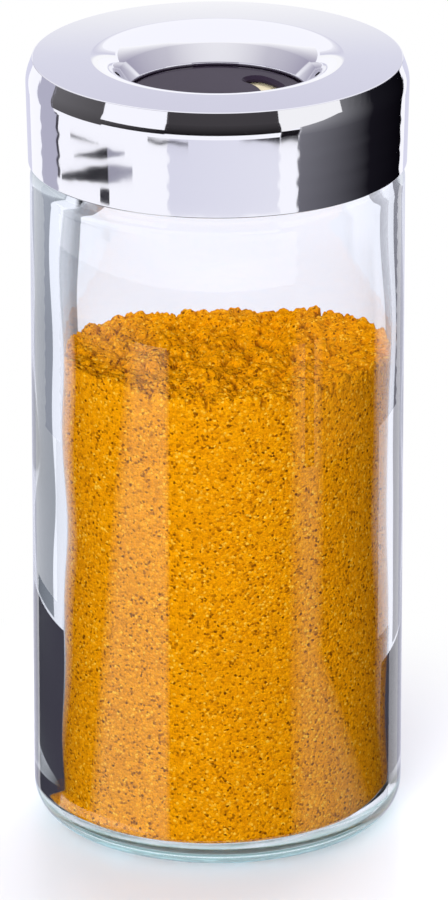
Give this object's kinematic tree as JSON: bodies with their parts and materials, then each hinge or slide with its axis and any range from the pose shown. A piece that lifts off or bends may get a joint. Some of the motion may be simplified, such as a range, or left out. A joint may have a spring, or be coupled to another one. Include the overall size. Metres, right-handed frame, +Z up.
{
  "type": "spice jar",
  "caption": "Round clear glass spice jar holding ground spice, closed by a chromed screw cap whose ring turns a dosing slot over a sifter deck.",
  "frame": {"origin": "middle of the jar's footprint, on the surface that it stands on", "axes": "+Z up along the jar's axis; -X towards the stop lug of the closed dial"},
  "size_m": [0.051, 0.051, 0.107],
  "materials": {
    "clear_glass": "clear pressed soda-lime glass, slightly uneven inside",
    "ground_spice": "matte orange-yellow ground spice with dark and pale flecks",
    "seal_silicone": "translucent white silicone",
    "ivory_plastic": "ivory moulded polypropylene",
    "black_plastic": "black gloss moulded plastic",
    "chrome_plating": "bright chrome plating on moulded plastic"
  },
  "bodies": {
    "jar": {"glass_jar": "clear_glass", "spice_fill": "ground_spice"},
    "seal": {"rim_gasket": "seal_silicone"},
    "closure": {"screw_collar": "ivory_plastic"},
    "dial": {"chrome_ring": "chrome_plating", "dial_plate": "black_plastic"}
  },
  "joints": [
    {"name": "cap_lift", "type": "slide", "parent": "jar", "child": "seal", "axis": [0, 0, 1], "range_m": [0, 0.024]},
    {"name": "cap_turn", "type": "hinge", "parent": "seal", "child": "closure", "pos_m": [0, 0, 0.0988], "axis": [0, 0, 1], "range_deg": [-30, 620]},
    {"name": "dial_turn", "type": "hinge", "parent": "closure", "child": "dial", "pos_m": [0, 0, 0.1003], "axis": [0, 0, 1], "range_deg": [-100, 100]}
  ],
  "couplings": [
    {"joint": "cap_turn", "follows": "cap_lift", "rad_per_m": 392.7}
  ]
}
